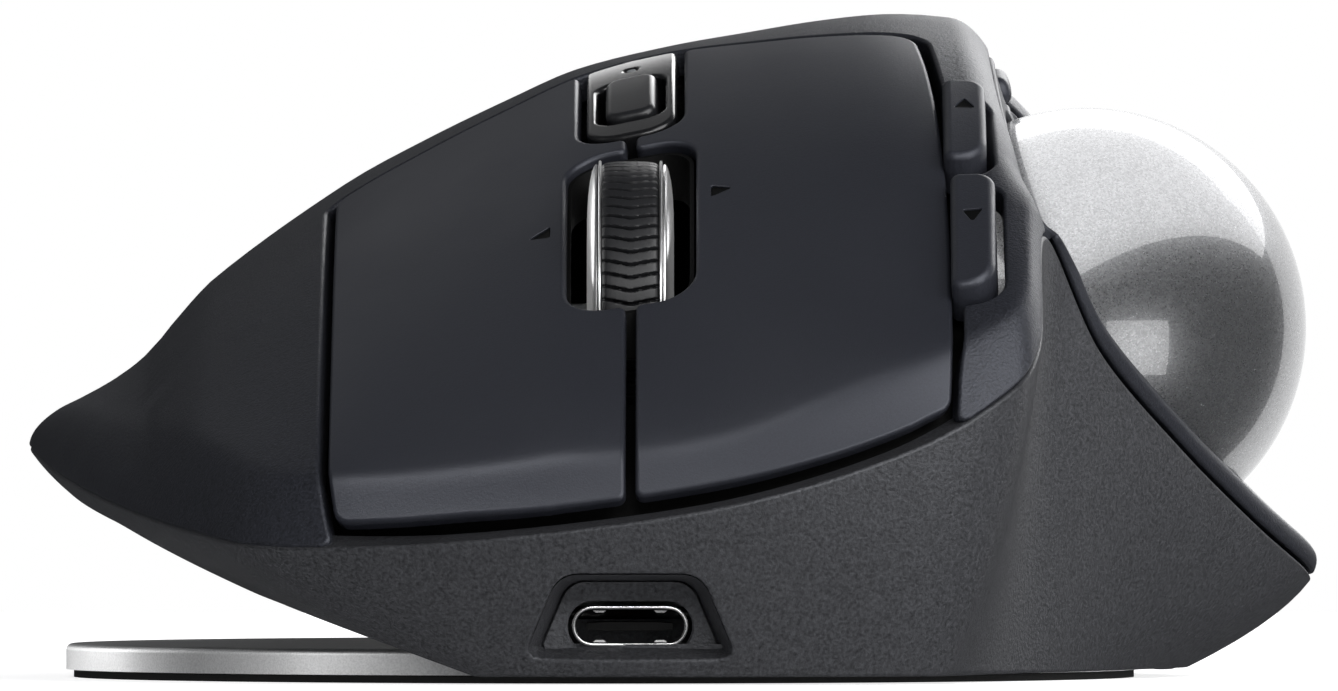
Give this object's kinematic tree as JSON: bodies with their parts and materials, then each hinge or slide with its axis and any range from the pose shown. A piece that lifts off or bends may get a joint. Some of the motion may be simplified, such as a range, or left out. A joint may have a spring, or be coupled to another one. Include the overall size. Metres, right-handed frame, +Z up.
{
  "type": "trackball mouse",
  "caption": "Right-handed thumb trackball mouse with a sculpted shell, click plates, tilt wheel and side ball, hinged on a flat steel base plate.",
  "frame": {"origin": "centre of the bounding box in plan, on the surface that the rubber base pad rests on", "axes": "+Z up, -Y towards the front edge with the charging port, +X towards the thumb side with the ball"},
  "size_m": [0.0998, 0.1325, 0.0514],
  "materials": {
    "palm_grip": "fine-grained soft-touch graphite",
    "lower_housing": "grained matte graphite",
    "thumb_scoop": "smooth satin graphite",
    "click_plates": "smooth satin near-black",
    "mode_trim": "dark gloss",
    "mode_button": "satin near-black",
    "status_lens": "clear moulded lens",
    "side_keys": "satin graphite",
    "ball": "clear-coated pearl grey with fine metal flake",
    "ceramic": "polished",
    "inner_plastic": "plain black moulding",
    "tyre_rubber": "matte ribbed rubber",
    "polished_ring": "polished",
    "bright_steel": "turned",
    "port_metal": "drawn and polished",
    "circuit_board": "solder mask",
    "battery_foil": "foil",
    "base_steel": "bead-blasted",
    "pad_rubber": "matte"
  },
  "bodies": {
    "base": {"base_plate": "base_steel", "base_pad": "pad_rubber", "hinge_pin": "bright_steel", "base_knuckle_front": "base_steel", "base_knuckle_rear": "base_steel"},
    "housing": {"lower_shell": "lower_housing", "palm_shell": "palm_grip", "thumb_shell": "thumb_scoop", "mode_trim": "mode_trim", "status_lens": "status_lens", "ball_socket": "inner_plastic", "bearing_1": "ceramic", "bearing_2": "ceramic", "bearing_3": "ceramic", "sensor_lens": "status_lens", "sensor_module": "inner_plastic", "wheel_bracket": "inner_plastic", "main_board": "circuit_board", "right_switch": "inner_plastic", "left_switch": "inner_plastic", "usb_receptacle": "port_metal", "usb_tongue": "inner_plastic", "battery": "battery_foil", "inner_chassis": "inner_plastic", "side_switch_board": "circuit_board", "screw_1": "bright_steel", "screw_2": "bright_steel", "screw_3": "bright_steel", "screw_4": "bright_steel", "tilt_saddle_front": "inner_plastic", "tilt_saddle_rear": "inner_plastic", "rest_magnet": "bright_steel", "tilt_magnet": "bright_steel"},
    "left_click": {"left_click_plate": "click_plates"},
    "right_click": {"right_click_plate": "click_plates"},
    "mode_key": {"mode_button": "mode_button"},
    "forward_key": {"forward_button": "side_keys"},
    "back_key": {"back_button": "side_keys"},
    "precision_key": {"precision_button": "side_keys"},
    "ball": {"trackball": "ball"},
    "wheel_tilt_frame": {"wheel_rocker": "bright_steel"},
    "wheel_carrier": {"wheel_cradle": "inner_plastic", "wheel_encoder": "circuit_board"},
    "wheel": {"wheel_tyre": "tyre_rubber", "wheel_hub": "inner_plastic", "wheel_ring_right": "polished_ring", "wheel_ring_left": "polished_ring", "wheel_axle": "bright_steel"},
    "power_switch": {"power_slider": "side_keys"}
  },
  "joints": [
    {"name": "body_tilt", "type": "hinge", "parent": "base", "child": "housing", "pos_m": [-0.0147, 0, 0.0065], "axis": [0, -1, 0], "range_deg": [0, 20]},
    {"name": "left_press", "type": "hinge", "parent": "housing", "child": "left_click", "pos_m": [0.009, -0.0045, 0.046], "axis": [1, 0, 0], "range_deg": [0, 0.6], "stiffness_Nm_per_rad": 1.5, "springref_deg": -0.69},
    {"name": "right_press", "type": "hinge", "parent": "housing", "child": "right_click", "pos_m": [-0.015, -0.0025, 0.04], "axis": [1, 0, 0], "range_deg": [0, 0.6], "stiffness_Nm_per_rad": 1.5, "springref_deg": -0.69},
    {"name": "mode_press", "type": "slide", "parent": "housing", "child": "mode_key", "axis": [0, 0, -1], "range_m": [0, 0.0005], "stiffness_N_per_m": 800, "springref_m": -0.0008},
    {"name": "forward_press", "type": "slide", "parent": "housing", "child": "forward_key", "axis": [0, 0, -1], "range_m": [0, 0.0006], "stiffness_N_per_m": 800, "springref_m": -0.0008},
    {"name": "back_press", "type": "slide", "parent": "housing", "child": "back_key", "axis": [0, 0, -1], "range_m": [0, 0.0006], "stiffness_N_per_m": 800, "springref_m": -0.0008},
    {"name": "precision_press", "type": "slide", "parent": "housing", "child": "precision_key", "axis": [-0.3499, 0, -0.9368], "range_m": [0, 0.0005], "stiffness_N_per_m": 800, "springref_m": -0.0008},
    {"name": "ball_spin", "type": "hinge", "parent": "housing", "child": "ball", "pos_m": [0.0323, -0.008, 0.0271], "axis": [0, 0, 1], "continuous": true},
    {"name": "wheel_tilt", "type": "hinge", "parent": "housing", "child": "wheel_tilt_frame", "pos_m": [-0.00295, -0.0327, 0.013], "axis": [0, 1, 0], "range_deg": [-2, 2], "stiffness_Nm_per_rad": 0.4},
    {"name": "wheel_press", "type": "slide", "parent": "wheel_tilt_frame", "child": "wheel_carrier", "axis": [0, 0, -1], "range_m": [0, 0.0008], "stiffness_N_per_m": 900, "springref_m": -0.001},
    {"name": "wheel_spin", "type": "hinge", "parent": "wheel_carrier", "child": "wheel", "pos_m": [-0.00295, -0.0327, 0.0278], "axis": [1, 0, 0], "continuous": true},
    {"name": "power_slide", "type": "slide", "parent": "housing", "child": "power_switch", "axis": [0, 1, 0], "range_m": [0, 0.003]}
  ]
}
